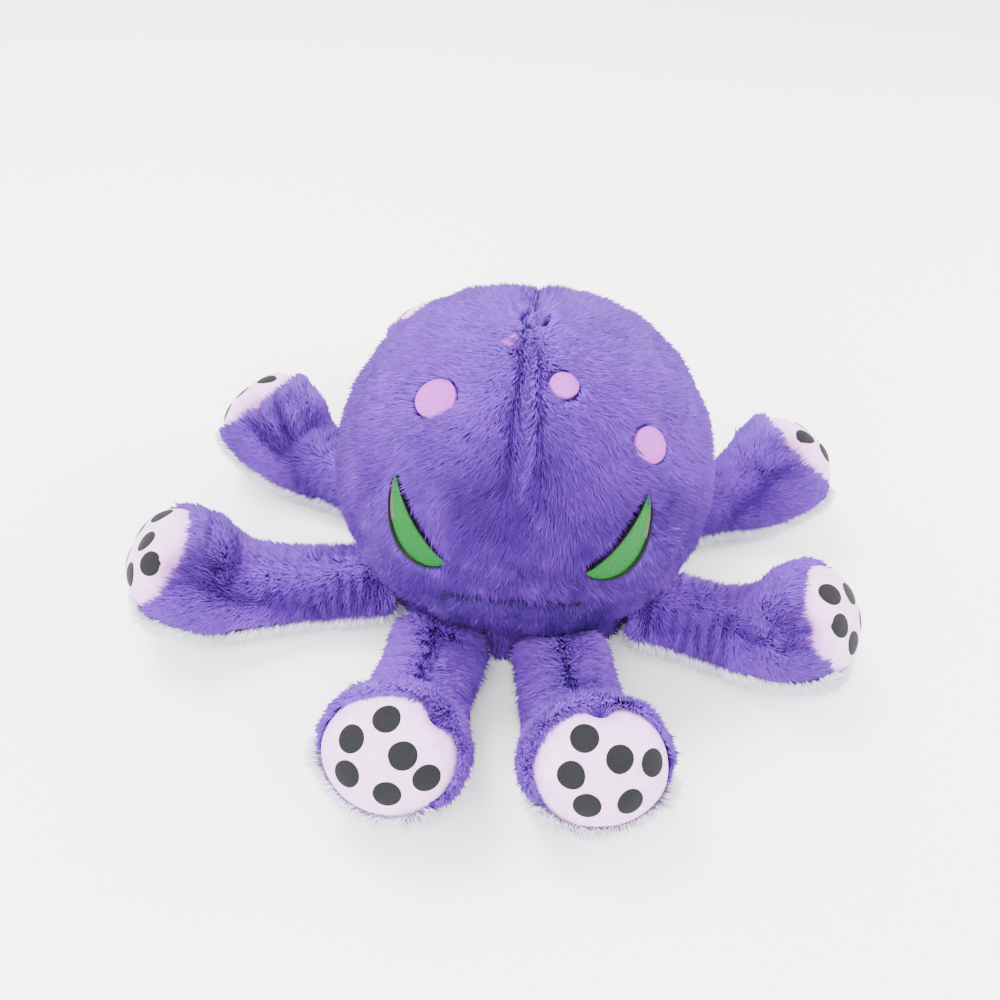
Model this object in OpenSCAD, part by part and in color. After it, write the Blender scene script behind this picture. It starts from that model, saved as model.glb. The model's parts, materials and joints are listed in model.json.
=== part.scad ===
// Stuffed plush octopus: a round head in four sewn gores on a flat base, and eight
// stuffed arms, each ending in a turned-up foot with a spotted, short-pile pad.
// Millimetres, +Z up, the face looks towards -Y, the origin is the middle of the
// base on the floor. Outer sizes include the pile of the fabric.

/* [Head] */
// Radius of the head at its widest, over the pile
head_r = 105; // [96:1:120]
// Half height of the head's ellipsoid
head_half_h = 92; // [80:1:105]
// Height of the head's widest ring above the floor
head_mid_z = 83; // [78:1:95]
// Thickness of the long-pile fabric, pile included
pile_t = 7; // [5:0.5:9]

/* [Base] */
// Radius of the flat base panel
base_r = 78; // [60:1:80]
// Thickness of the base panel
base_t = 4; // [3:0.5:6]
// Height of the seam between the yoke band and the head
yoke_top_z = 31; // [28:1:34]

/* [Arms] */
// Distance from the head's widest ring in to each arm's bending line
hinge_in = 7; // [0:1:8]
// Height of each arm's bending line
hinge_z = 19; // [18:0.5:20]
// Distance from the bending line to the middle of the foot's rim
foot_run = 84; // [82:1:100]
// Half width of an arm at its root
root_half_w = 27; // [22:1:28]
// Half width of a foot at its rim
foot_half_w = 38; // [32:1:41]
// Half height of a foot at its rim
foot_half_h = 35; // [29:1:37]
// Angle that a foot turns up by
curl = 45; // [30:1:50]
// Radius of the bend between arm and foot
curl_r = 50; // [44:1:60]

/* [Pads and prints] */
// Height of a pad's dome over its edge
pad_dome = 16; // [8:1:18]
// Thickness of the short-pile pad fabric
pad_t = 4; // [3:0.5:6]
// Diameter of a printed sucker dot
dot_d = 12.5; // [9:0.5:14]
// Thickness of embroidery and prints
thread_t = 1.2; // [0.8:0.1:2]

/* [Hidden] */
arm_count = 8;
arm_numbers = [for (k = [1:arm_count]) k];
arm_pieces = ["fur", "underside", "pad", "suckers", "filling"];

purple = "#7a5fcb";
deep_purple = "#4a2f9c";
white_pile = "#ddd9f0";
pad_pink = "#ecdff0";
dot_grey = "#3a3a44";
cotton = "#f2f0ea";
spot_pink = "#cf86d8";
eye_green = "#2cb04a";
black = "#16131c";
corner_grey = "#8a8578";

seam = 0.6;          // gap that a sewn seam takes up between two panels
loose = 1.6;         // clearance of a filling inside its skin
lift = 0.3;          // clearance of embroidery over the pile
$fn = 72;

// Arms are numbered counter-clockwise from the face: 1 is in front on the +X side.
// Each one's own lie: degrees its root is moved round the base, degrees it is turned
// sideways there, extra reach in mm, and degrees its foot and its print are rolled.
arm_place = [-5, -6.5, 0, 0, 0, 0, 2.5, -1.5];
arm_turn = [-6, 14, 1, 0, -2, -5, -14, 17];
arm_stretch = [-9, -5, 1, 0, 28, 9, 17, -4];
arm_roll = [-6, 0, 0, 0, 0, 0, 0, 20];
print_roll = [-4, 13, 0, 30, -10, 15, -26, 18];

function arm_azimuth(k) = (k - 0.5) * 360 / arm_count + arm_place[k - 1];
function smooth(t) = let (c = min(max(t, 0), 1)) c * c * (3 - 2 * c);
function mix(a, b, t) = a + (b - a) * t;

// ---------------------------------------------------------------- grid solids

// The triangles of one grid of rows by columns, its points counted from first.
function grid_faces(rows, cols, first, flip) = [
    for (i = [0:rows - 2], j = [0:cols - 2])
        let (a = first + i * cols + j, b = a + 1, c = a + cols, d = c + 1)
        each flip ? [[a, b, d], [a, d, c]] : [[a, d, b], [a, c, d]]
];

// The triangles that close the gap between two strips of points.
function strip_faces(outer, inner) = [
    for (i = [0:len(outer) - 2])
        each [[outer[i], outer[i + 1], inner[i + 1]], [outer[i], inner[i + 1], inner[i]]]
];

// A closed panel between an outer and an inner grid of points of the same size.
module panel(outer, inner) {
    rows = len(outer);
    cols = len(outer[0]);
    n = rows * cols;
    west = [for (i = [0:rows - 1]) i * cols];
    east = [for (i = [0:rows - 1]) i * cols + cols - 1];
    south = [for (j = [0:cols - 1]) j];
    north = [for (j = [0:cols - 1]) (rows - 1) * cols + j];
    under = function (strip) [for (p = strip) p + n];
    turned = function (strip) [for (i = [len(strip) - 1:-1:0]) strip[i]];
    polyhedron(
        points = concat([for (row = outer) each row], [for (row = inner) each row]),
        faces = concat(
            grid_faces(rows, cols, 0, true),
            grid_faces(rows, cols, n, false),
            strip_faces(west, under(west)),
            strip_faces(turned(east), under(turned(east))),
            strip_faces(turned(south), under(turned(south))),
            strip_faces(north, under(north))
        )
    );
}

// A closed disc between an outer and an inner set of rings; each set is
// [middle point, ring, ring, ...], from the middle outwards.
module disc(outer, inner) {
    rings = len(outer) - 1;
    cols = len(outer[1]);
    n = 1 + rings * cols;
    at = function (ring, j, base) base + 1 + ring * cols + j % cols;
    polyhedron(
        points = concat(
            [outer[0]], [for (r = [1:rings]) each outer[r]],
            [inner[0]], [for (r = [1:rings]) each inner[r]]
        ),
        faces = [for (j = [0:cols - 1]) each concat(
            [[0, at(0, j + 1, 0), at(0, j, 0)], [n, at(0, j, n), at(0, j + 1, n)]],
            [for (r = [0:1:rings - 2]) each [
                [at(r, j, 0), at(r, j + 1, 0), at(r + 1, j + 1, 0)],
                [at(r, j, 0), at(r + 1, j + 1, 0), at(r + 1, j, 0)],
                [at(r, j, n), at(r + 1, j + 1, n), at(r, j + 1, n)],
                [at(r, j, n), at(r + 1, j, n), at(r + 1, j + 1, n)]
            ]],
            [
                [at(rings - 1, j, 0), at(rings - 1, j + 1, 0), at(rings - 1, j + 1, n)],
                [at(rings - 1, j, 0), at(rings - 1, j + 1, n), at(rings - 1, j, n)]
            ]
        )]
    );
}

// ----------------------------------------------------------------------- head

// A point on the head: degrees round from the face, degrees up, and mm outwards.
function on_head(around, up, out = 0) = [
    (head_r + out) * cos(up) * sin(around),
    -(head_r + out) * cos(up) * cos(around),
    head_mid_z + (head_half_h + out) * sin(up)
];

// Half of the head's outline, from the yoke seam to the top, shrunk by some mm.
function head_outline(shrink) = let (
    a = head_r - shrink,
    b = head_half_h - shrink,
    foot_r = yoke_r(yoke_top_z) - shrink,
    low = -28,
    steps = 20
) concat(
    [[foot_r, yoke_top_z + seam + shrink * 0.4]],
    [for (i = [0:steps]) let (up = mix(low, 90, i / steps)) [a * cos(up), head_mid_z + b * sin(up)]]
);

// Outer radius of the yoke band, which leans outwards up to the head.
function yoke_r(z) = mix(base_r + 1, base_r + 4, z / yoke_top_z);

// One gore of the head, as a quarter of the shell; right and front are 1 or -1.
module head_gore(right, front) {
    reach = head_r + 10;
    color(purple)
    intersection() {
        rotate_extrude()
            difference() {
                polygon(concat(head_outline(0), [[0, yoke_top_z + seam]]));
                polygon(concat(head_outline(pile_t), [
                    [-1, head_mid_z + head_half_h - pile_t], [-1, yoke_top_z - 5],
                    [yoke_r(yoke_top_z) - pile_t, yoke_top_z - 5]
                ]));
            }
        translate([right > 0 ? seam / 2 : -reach, front > 0 ? -reach : seam / 2, 0])
            cube([reach - seam / 2, reach - seam / 2, head_mid_z + head_half_h + 10]);
    }
}

module head_filling() {
    inset = pile_t + loose;
    color(cotton)
    rotate_extrude()
        polygon(concat(
            [[0, base_t + loose], [yoke_r(base_t) - inset, base_t + loose]],
            [[yoke_r(yoke_top_z) - inset, yoke_top_z + seam]],
            head_outline(inset)
        ));
}

// Band between base and head, with a round hollow where each arm is sewn on.
module yoke_band() {
    bottom_z = base_t + seam / 2;
    hollow_r = hinge_z + 0.5;
    color(deep_purple)
    difference() {
        rotate_extrude()
            polygon([
                [yoke_r(bottom_z) - pile_t, bottom_z], [yoke_r(bottom_z), bottom_z],
                [yoke_r(yoke_top_z), yoke_top_z], [yoke_r(yoke_top_z) - pile_t, yoke_top_z]
            ]);
        for (k = arm_numbers)
            at_arm(k)
                translate([0, 0, hinge_z])
                    rotate([90, 0, 0])
                        cylinder(r = hollow_r, h = 2 * root_half_w + 2, center = true);
    }
}

module base_panel() {
    color(white_pile) cylinder(r = base_r, h = base_t);
}

// Hand stitches that close the opening the filling went in by, inside the base.
module closing_stitches() {
    count = 9;
    pitch = 6;
    color(deep_purple)
    for (i = [0:count - 1])
        translate([(i - (count - 1) / 2) * pitch, 40, base_t + seam / 2])
            rotate([0, 0, 20])
                translate([-0.4, -2, 0])
                    cube([0.8, 4, 0.25]);
}

// ----------------------------------------------------------------------- face

// Embroidered spots: [degrees round, degrees up, diameter].
spots = [
    [-42.5, 51.5, 21], [20.5, 63.5, 14], [48, 39.5, 19], [-29.5, 78, 11], [-84, 55.5, 12]
];

module forehead_spots() {
    cols = 20;
    color(spot_pink)
    for (spot = spots) {
        ring = function (d, out) [
            for (j = [0:cols - 1]) let (
                turn = j * 360 / cols,
                side = d / 2 / head_r * 180 / PI
            ) on_head(spot[0] + side * sin(turn) / cos(spot[1]), spot[1] + side * cos(turn), out)
        ];
        side_of = function (out) [
            on_head(spot[0], spot[1], out), ring(spot[2] / 2, out), ring(spot[2], out)
        ];
        disc(side_of(lift + thread_t), side_of(lift));
    }
}

// An eye is a crescent from its inner corner, t = 0, to its outer tip, t = 1.
// Its upper edge is nearly straight; its lower edge sags most towards the inner
// corner, which is blunt.
eye_inner = [18, 8];
eye_outer = [40.5, 28.5];
eye_sag_top = 1.8;
eye_sag_low = 9.4;
eye_steps = 24;
outline_gap = 0.8;   // degrees between the eye's fill and its outline
outline_w = 1.3;

function eye_edge(t, sag) = let (
    along = eye_outer - eye_inner,
    across = [along[1], -along[0]] / norm(along)
) eye_inner + along * t + across * sag * pow(t, 0.45) * (1 - t) / 0.4;

// A strip of embroidery along an eye between two steps and two sags; side is 1 or -1.
module eye_strip(side, from_step, to_step, sag_top, sag_low) {
    lines = 3;
    points = function (out) [
        for (i = [from_step:to_step]) let (
            t = i / eye_steps,
            top = eye_edge(t, sag_top),
            low = eye_edge(t, sag_low) + (i == 0 || i == eye_steps ? [0, -0.2] : [0, 0])
        ) [
            for (j = [0:lines - 1]) let (p = mix(top, low, j / (lines - 1)))
            on_head(side * p[0], p[1], out)
        ]
    ];
    if (side > 0) panel(points(lift + thread_t), points(lift));
    else mirrored_panel(points(lift + thread_t), points(lift));
}

// The same as panel(), for grids whose columns run the other way round.
module mirrored_panel(outer, inner) {
    turned = function (grid) [for (row = grid) [for (j = [len(row) - 1:-1:0]) row[j]]];
    panel(turned(outer), turned(inner));
}

module eye_green(side) {
    color(eye_green) eye_strip(side, 1, 20, eye_sag_top, eye_sag_low);
}

module eye_outline(side) {
    from_sag = eye_sag_low + outline_gap;
    color(black) eye_strip(side, 0, eye_steps, from_sag, from_sag + outline_w);
}

module eye_corner(side) {
    color(corner_grey) eye_strip(side, 21, eye_steps - 1, eye_sag_top, eye_sag_low - 1);
}

module mouth_stitching() {
    half_turn = 20.5;
    rise = -2.2;
    mid_up = -4.8;
    steps = 16;
    thick_up = 1.4;
    points = function (out) [
        for (i = [0:steps]) let (
            s = mix(-1, 1, i / steps),
            up = mid_up + rise * s * s
        ) [for (j = [0:1]) on_head(s * half_turn, up - j * thick_up, out)]
    ];
    color(black) panel(points(lift + thread_t), points(lift));
}

// ----------------------------------------------------------------------- arms

// Arm k's own frame: its origin is on the floor under the bending line, and +X
// points along the arm, away from the head.
module at_arm(k) {
    rotate([0, 0, arm_azimuth(k) - 90])
        translate([head_r - hinge_in, 0, 0])
            rotate([0, 0, arm_turn[k - 1]])
                children();
}

root_cut = 10;       // how far an arm runs back behind its bending line
rim_run = 13;        // straight stretch between the bend and the foot's rim
rim_round = 8;       // rounding of the foot's rim, towards the pad
rim_sweep = 60;      // how much of that rounding the panels cover
arm_steps = 9;       // stations along an arm, the same for its skin and its filling

// Where the bend starts, so that the rim's middle lands at foot_run.
function bend_start(k) =
    foot_run + arm_stretch[k - 1] - curl_r * sin(curl) - rim_run * cos(curl);

// Length of the middle line from the bending line to the rim.
function arm_length(k) = bend_start(k) + curl_r * curl * PI / 180 + rim_run;

// Middle line at distance s: [x, z, degrees of slope].
function arm_middle(k, s) = let (
    start = bend_start(k),
    bend = curl_r * curl * PI / 180,
    turned = min(max(s - start, 0) / curl_r * 180 / PI, curl),
    rest = max(s - start - bend, 0)
) [
    min(s, start) + curl_r * sin(turned) + rest * cos(curl),
    hinge_z + curl_r * (1 - cos(turned)) + rest * sin(curl),
    turned
];

root_half_h = hinge_z - 0.5;

// Half width and half height of an arm at distance s, before the rim's rounding.
function arm_half_w(k, s) = mix(root_half_w, foot_half_w, smooth((s / arm_length(k) - 0.3) / 0.7));
function arm_half_h(k, s) = s < 0
    ? sqrt(root_half_h * root_half_h - s * s)
    : mix(root_half_h, foot_half_h, smooth((s / arm_length(k) - 0.25) / 0.75));

// A point of an arm's skin: distance s along, then turn degrees round from the
// top, pushed inwards by shrink, and never under the floor line.
function arm_point(k, s, turn, shrink, past = 0, floor_z = 0) = let (
    m = arm_middle(k, s),
    w = arm_half_w(k, s) - shrink,
    h = arm_half_h(k, s) - shrink,
    n = h * cos(turn),
    x = m[0] + past * cos(m[2]) - n * sin(m[2]),
    z = m[1] + past * sin(m[2]) + n * cos(m[2])
) [x, w * sin(turn), max(z, floor_z)];

// Stations along an arm, as [s, distance past the rim, shrink at the rim].
function arm_stations(k, steps, rim_steps) = concat(
    [for (i = [0:steps]) [mix(-root_cut, arm_length(k), i / steps), 0, 0]],
    [for (i = [1:1:rim_steps]) let (a = rim_sweep * i / rim_steps)
        [arm_length(k), rim_round * sin(a), rim_round * (1 - cos(a))]]
);

// The purple pile covers this far round from the top, each way, at root and rim.
fur_turn_root = 106;
fur_turn_rim = 120;
seam_turn = 1.2;     // half of the gap at the side seams

// One skin panel of an arm, thick inwards by t: the purple one, or the one under it.
module arm_panel(k, under, cols, t) {
    stations = arm_stations(k, arm_steps, 3);
    grid = function (shrink, floor_z) [
        for (st = stations) let (
            grown = smooth(st[0] / arm_length(k)),
            edge = mix(fur_turn_root, fur_turn_rim, grown),
            roll = arm_roll[k - 1] * grown,
            from_turn = roll + (under ? edge + seam_turn : seam_turn - edge),
            to_turn = roll + (under ? 360 - edge - seam_turn : edge - seam_turn)
        ) [
            for (j = [0:cols])
            arm_point(k, st[0], mix(from_turn, to_turn, j / cols), st[2] + shrink, st[1], floor_z)
        ]
    ];
    panel(grid(0, 0), grid(t, t));
}

module arm_fur(k) {
    color(purple) arm_panel(k, false, 12, pile_t);
}

module arm_underside(k) {
    color(white_pile) arm_panel(k, true, 7, pile_t);
}

// Half sizes of a pad at its edge, just inside the rim's rounding.
pad_edge_past = rim_round * sin(rim_sweep);
pad_inset = rim_round * (1 - cos(rim_sweep)) + seam;

// A point of the pad: reach 0 in the middle to 1 at its edge, degrees round from
// the pad's top, and mm outwards.
function pad_spot(k, reach, turn, out) = let (
    m = arm_middle(k, arm_length(k)),
    w = (foot_half_w - pad_inset) * reach,
    h = (foot_half_h - pad_inset) * reach,
    dome = pad_dome * (sqrt(1 - 0.85 * reach * reach) - sqrt(0.15)),
    rise = pad_edge_past + seam + pad_t + dome + out,
    n = h * cos(turn)
) [
    m[0] + rise * cos(m[2]) - n * sin(m[2]),
    w * sin(turn),
    m[1] + rise * sin(m[2]) + n * cos(m[2])
];

module arm_pad(k) {
    cols = 16;
    reaches = [0.4, 0.75, 1];
    side_of = function (out) concat(
        [pad_spot(k, 0, 0, out)],
        [for (r = reaches) [for (j = [0:cols - 1]) pad_spot(k, r, j * 360 / cols, out)]]
    );
    color(pad_pink) disc(side_of(0), side_of(-pad_t));
}

// Dots printed on a pad as [across, up], in shares of its half sizes.
dot_print = [[-0.25, 0.58], [-0.52, 0.08], [0.21, 0.21], [-0.34, -0.44], [0.67, 0.04], [0.29, -0.47]];

module arm_suckers(k) {
    step = 0.05;
    color(dot_grey)
    for (dot = dot_print) {
        reach = norm(dot);
        turn = atan2(dot[0], dot[1]) + print_roll[k - 1];
        upwards = pad_spot(k, reach + step, turn, lift) - pad_spot(k, reach - step, turn, lift);
        sideways = pad_spot(k, reach, turn + 4, lift) - pad_spot(k, reach, turn - 4, lift);
        out = cross(sideways, upwards) / norm(cross(sideways, upwards));
        translate(pad_spot(k, reach, turn, lift) + out * lift)
            rotate([0, acos(out[2]), atan2(out[1], out[0])])
                cylinder(d = dot_d, h = thread_t / 2);
    }
}

module arm_filling(k) {
    cols = 14;
    end_share = 0.6;
    inset = pile_t + loose;
    stations = [
        for (st = arm_stations(k, arm_steps, 1)) [st[0], st[1] * end_share, inset + st[2] * end_share]
    ];
    rows = len(stations);
    rings = [for (st = stations) [
        for (j = [0:cols - 1])
        arm_point(k, st[0], 180 + j * 360 / cols, st[2], st[1], inset)
    ]];
    color(cotton)
    polyhedron(
        points = [for (ring = rings) each ring],
        faces = concat(
            [for (i = [0:rows - 2], j = [0:cols - 1])
                let (a = i * cols + j, b = i * cols + (j + 1) % cols)
                each [[a, b, b + cols], [a, b + cols, a + cols]]],
            [[for (j = [cols - 1:-1:0]) j]],
            [[for (j = [0:cols - 1]) (rows - 1) * cols + j]]
        )
    );
}

// ------------------------------------------------------------------- assembly

head_gore(-1, 1);  // head_front_left
head_gore(1, 1);  // head_front_right
head_gore(-1, -1);  // head_rear_left
head_gore(1, -1);  // head_rear_right
head_filling();
yoke_band();
base_panel();
closing_stitches();
forehead_spots();
eye_green(-1);  // left_eye_green
eye_outline(-1);  // left_eye_outline
eye_corner(-1);  // left_eye_corner
eye_green(1);  // right_eye_green
eye_outline(1);  // right_eye_outline
eye_corner(1);  // right_eye_corner
mouth_stitching();
for (k = arm_numbers) {
    at_arm(k) arm_fur(k);
    at_arm(k) arm_underside(k);
    at_arm(k) arm_pad(k);
    at_arm(k) arm_suckers(k);
    at_arm(k) arm_filling(k);
}
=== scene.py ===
"""A stuffed plush octopus: furry head and arms, embroidered face, dotted foot pads.

Lengths are in millimetres here and turn into metres when a mesh is made. Each arm is
modelled in its own frame, whose origin is on the floor under the arm's bending line and
whose X runs along the arm; both come from the arm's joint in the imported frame.
"""

import json
import math

import bpy
import numpy as np
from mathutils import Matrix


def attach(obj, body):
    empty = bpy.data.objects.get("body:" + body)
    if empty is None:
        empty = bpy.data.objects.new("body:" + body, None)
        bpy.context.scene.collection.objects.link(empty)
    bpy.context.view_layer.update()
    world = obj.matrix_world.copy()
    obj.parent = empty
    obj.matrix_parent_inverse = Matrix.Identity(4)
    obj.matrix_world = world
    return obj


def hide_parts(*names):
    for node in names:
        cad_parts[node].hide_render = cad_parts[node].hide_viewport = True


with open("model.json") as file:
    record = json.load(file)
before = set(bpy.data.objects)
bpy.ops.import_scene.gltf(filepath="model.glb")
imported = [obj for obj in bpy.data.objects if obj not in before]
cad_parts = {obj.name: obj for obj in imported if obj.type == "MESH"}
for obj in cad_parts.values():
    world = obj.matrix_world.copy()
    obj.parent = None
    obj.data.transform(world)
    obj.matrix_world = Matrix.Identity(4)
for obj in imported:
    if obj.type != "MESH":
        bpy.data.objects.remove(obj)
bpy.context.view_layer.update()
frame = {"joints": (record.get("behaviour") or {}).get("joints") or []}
for thing in bpy.context.selected_objects:
    thing.select_set(False)

MM = 0.001
RNG = np.random.default_rng(8)

# ---------------------------------------------------------------- sizes, in millimetres
HEAD_R = 105.0           # the head over its pile
HEAD_HALF_H = 92.0
HEAD_MID_Z = 83.0
YOKE_R = 82.0            # the band under the head that the arms are sewn to
YOKE_TOP = 31.0
BASE_R = 78.0
PILE_DEPTH = 6.0         # how deep the long pile stands on its backing
WHITE_DEPTH = 5.0

HINGE_Z = 19.0
FOOT_RUN = 84.0
ROOT_HALF_W = 27.0
ROOT_HALF_H = HINGE_Z - 0.5
FOOT_HALF_W = 38.0
FOOT_HALF_H = 35.0
CURL = 45.0
CURL_R = 50.0
RIM_RUN = 13.0
ARM_STRETCH = [-9, -5, 1, 0, 28, 9, 17, -4]
ARM_ROLL = [-6, 0, 0, 0, 0, 0, 0, 20]            # how far each foot's panels are rolled, in degrees
PRINT_ROLL = [-4, 13, 0, 30, -10, 15, -26, 18]
FUR_TURN_ROOT = 106.0    # the purple pile covers this far round an arm, each way
FUR_TURN_RIM = 120.0

DOT_R = 6.25
PRINT_DOTS = [(-0.25, 0.58), (-0.52, 0.08), (0.21, 0.21), (-0.34, -0.44), (0.67, 0.04), (0.29, -0.47)]
TUCK_TURN = [3, -52, -24, 15, -12, 38, 48, 40]   # where each pad's top is pinched, in degrees

# Embroidered spots: degrees round from the face, degrees up, diameter.
SPOTS = [(-42.5, 51.5, 21), (20.5, 63.5, 14), (48, 39.5, 19), (-29.5, 78, 11), (-84, 55.5, 12)]
SUNK_SPOTS = (3, 4)      # these two lie in a dimple with the pile closed over them

# ---------------------------------------------------------------- small helpers


def mix(a, b, t):
    return a + (b - a) * t


def smooth(t):
    c = np.clip(t, 0, 1)
    return c * c * (3 - 2 * c)


def bump(distance, width):
    """1 at no distance, falling smoothly to 0 well past the width."""
    return np.exp(-(distance / width) ** 2)


def unit(v):
    return v / np.maximum(np.linalg.norm(v, axis=-1, keepdims=True), 1e-9)


def sway(points, size, seed, count=12):
    """A smooth random field from -1 to 1 over points, three numbers each, with swirls of that size."""
    rng = np.random.default_rng(seed)
    out = np.zeros(points.shape[:-1] + (3,))
    for axis in range(3):
        waves = rng.normal(size=(count, 3)) / size * 2.2
        shift = rng.uniform(0, 2 * math.pi, count)
        out[..., axis] = np.sin(points @ waves.T + shift).sum(-1) / math.sqrt(count)
    return out


# ---------------------------------------------------------------- materials


def linear(code, alpha=1.0):
    """An sRGB hex colour as a linear colour."""
    parts = [int(code[i:i + 2], 16) / 255 for i in (1, 3, 5)]
    return tuple(p / 12.92 if p <= 0.04045 else ((p + 0.055) / 1.055) ** 2.4 for p in parts) + (alpha,)


def add(tree, kind, links=None, **settings):
    """Adds one node: settings are its own values or its sockets', links its sockets' sources."""
    node = tree.nodes.new(kind)
    for key, value in settings.items():
        if hasattr(node, key):
            setattr(node, key, value)
        else:
            node.inputs[int(key[1:]) if key[1:].isdigit() else key.replace("_", " ")].default_value = value
    for key, source in (links or {}).items():
        tree.links.new(source, node.inputs[key])
    return node


def material(name, **settings):
    made = bpy.data.materials.new(name)
    made.use_nodes = True
    shader = made.node_tree.nodes["Principled BSDF"]
    for key, value in settings.items():
        shader.inputs[key.replace("_", " ")].default_value = value
    return made, made.node_tree, shader


def ramp(tree, source, stops):
    """A colour ramp over (place, sRGB hex) stops."""
    node = add(tree, "ShaderNodeValToRGB", {"Fac": source})
    marks = node.color_ramp.elements
    while len(marks) < len(stops):
        marks.new(0.5)
    for mark, (place, code) in zip(marks, stops):
        mark.position = place
        mark.color = linear(code)
    return node.outputs["Color"]


def pile_material(name, root, middle, tip, dark, light, sheen):
    """Plush pile. Its map holds each strand's shade across and its root to tip upwards; the root colour is
    darker, as painted shade.
    """
    made, tree, shader = material(name, Roughness=0.75, Sheen_Weight=sheen, Sheen_Roughness=0.4)
    place = add(tree, "ShaderNodeUVMap", uv_map="OFBake")
    split = add(tree, "ShaderNodeSeparateXYZ", {"Vector": place.outputs[0]})
    # painted shade: the root colour is darker than the middle and the tip
    along = ramp(tree, split.outputs["Y"], [(0.0, root), (0.45, middle), (1.0, tip)])
    shade = ramp(tree, split.outputs["X"], [(0.0, dark), (1.0, light)])
    both = add(tree, "ShaderNodeMix", data_type="RGBA", blend_type="MULTIPLY")
    both.inputs["Factor"].default_value = 1.0
    tree.links.new(along, both.inputs[6])
    tree.links.new(shade, both.inputs[7])
    tree.links.new(both.outputs[2], shader.inputs["Base Color"])
    return made


def noise_bump(tree, shader, scale, strength, distance, stretch=(1, 1, 1)):
    where = add(tree, "ShaderNodeTexCoord")
    turned = add(tree, "ShaderNodeMapping", {"Vector": where.outputs["Object"]}, Scale=stretch)
    noise = add(tree, "ShaderNodeTexNoise", {"Vector": turned.outputs[0]}, Scale=scale, Detail=3.0)
    lift = add(tree, "ShaderNodeBump", {"Height": noise.outputs["Fac"]}, Strength=strength, Distance=distance)
    tree.links.new(lift.outputs[0], shader.inputs["Normal"])
    return noise


# Long-pile polyester plush: soft tapered fibres, each strand darker towards its root as painted shade where
# the strands crowd.
PURPLE_PILE = pile_material(
    "purple long-pile plush", "#400B84", "#601CAC", "#7627C0", "#8A86A4", "#FFFFFF", 0.0)
# The same plush in undyed lavender white, also darker at the roots as painted shade.
WHITE_PILE = pile_material(
    "white long-pile plush", "#CFC8E6", "#E6E1F6", "#F7F4FF", "#C4C2D2", "#FFFFFF", 0.1)


def knitted_backing(name, dark, light):
    """The knit that long pile grows from, hardly seen between the strands; coloured darker than its pile as
    painted shade.
    """
    made, tree, shader = material(name, Roughness=0.9)
    noise = noise_bump(tree, shader, 900.0, 0.5, 0.0008)
    tree.links.new(ramp(tree, noise.outputs["Fac"], [(0.3, dark), (0.7, light)]), shader.inputs["Base Color"])
    return made


# painted shade: both backings are darker than their pile, standing in for the shade between the strands
BACKING = knitted_backing("purple knitted backing", "#2C0E74", "#44188F")
WHITE_BACKING = knitted_backing("white knitted backing", "#BDB6D6", "#DCD8EE")

# Short velboa pile of the pads, blushed pink towards the edge and the tuck.
VELBOA, tree, shader = material(
    "pink-white velboa", Roughness=0.85, Specular_IOR_Level=0.25, Sheen_Weight=0.1, Sheen_Roughness=0.5)
where = add(tree, "ShaderNodeTexCoord")
fine = add(tree, "ShaderNodeTexNoise", {"Vector": where.outputs["Object"]}, Scale=1500.0, Detail=2.0)
soft = add(tree, "ShaderNodeTexNoise", {"Vector": where.outputs["Object"]}, Scale=160.0, Detail=3.0)
both = add(tree, "ShaderNodeMath", {0: fine.outputs["Fac"], 1: soft.outputs["Fac"]}, operation="ADD")
lift = add(tree, "ShaderNodeBump", {"Height": both.outputs[0]}, Strength=0.55, Distance=0.0006)
tree.links.new(lift.outputs[0], shader.inputs["Normal"])
tint = add(tree, "ShaderNodeAttribute", attribute_name="blush")
face = ramp(tree, tint.outputs["Fac"], [(0.0, "#DDB6E4"), (0.5, "#D79FDC"), (1.0, "#C677C8")])
mottle = ramp(tree, soft.outputs["Fac"], [(0.3, "#E9E4EE"), (0.7, "#FFFFFF")])
cloth = add(tree, "ShaderNodeMix", data_type="RGBA", blend_type="MULTIPLY")
cloth.inputs["Factor"].default_value = 1.0
tree.links.new(face, cloth.inputs[6])
tree.links.new(mottle, cloth.inputs[7])
tree.links.new(cloth.outputs[2], shader.inputs["Base Color"])

# Pigment print of one dot, raised a hair over the velboa.
PRINT, tree, shader = material("dark pigment print", Roughness=0.8, Specular_IOR_Level=0.2)
noise = noise_bump(tree, shader, 1500.0, 0.6, 0.0005)
ink = ramp(tree, noise.outputs["Fac"], [(0.3, "#09090C"), (0.7, "#16161B")])
tree.links.new(ink, shader.inputs["Base Color"])


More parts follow.
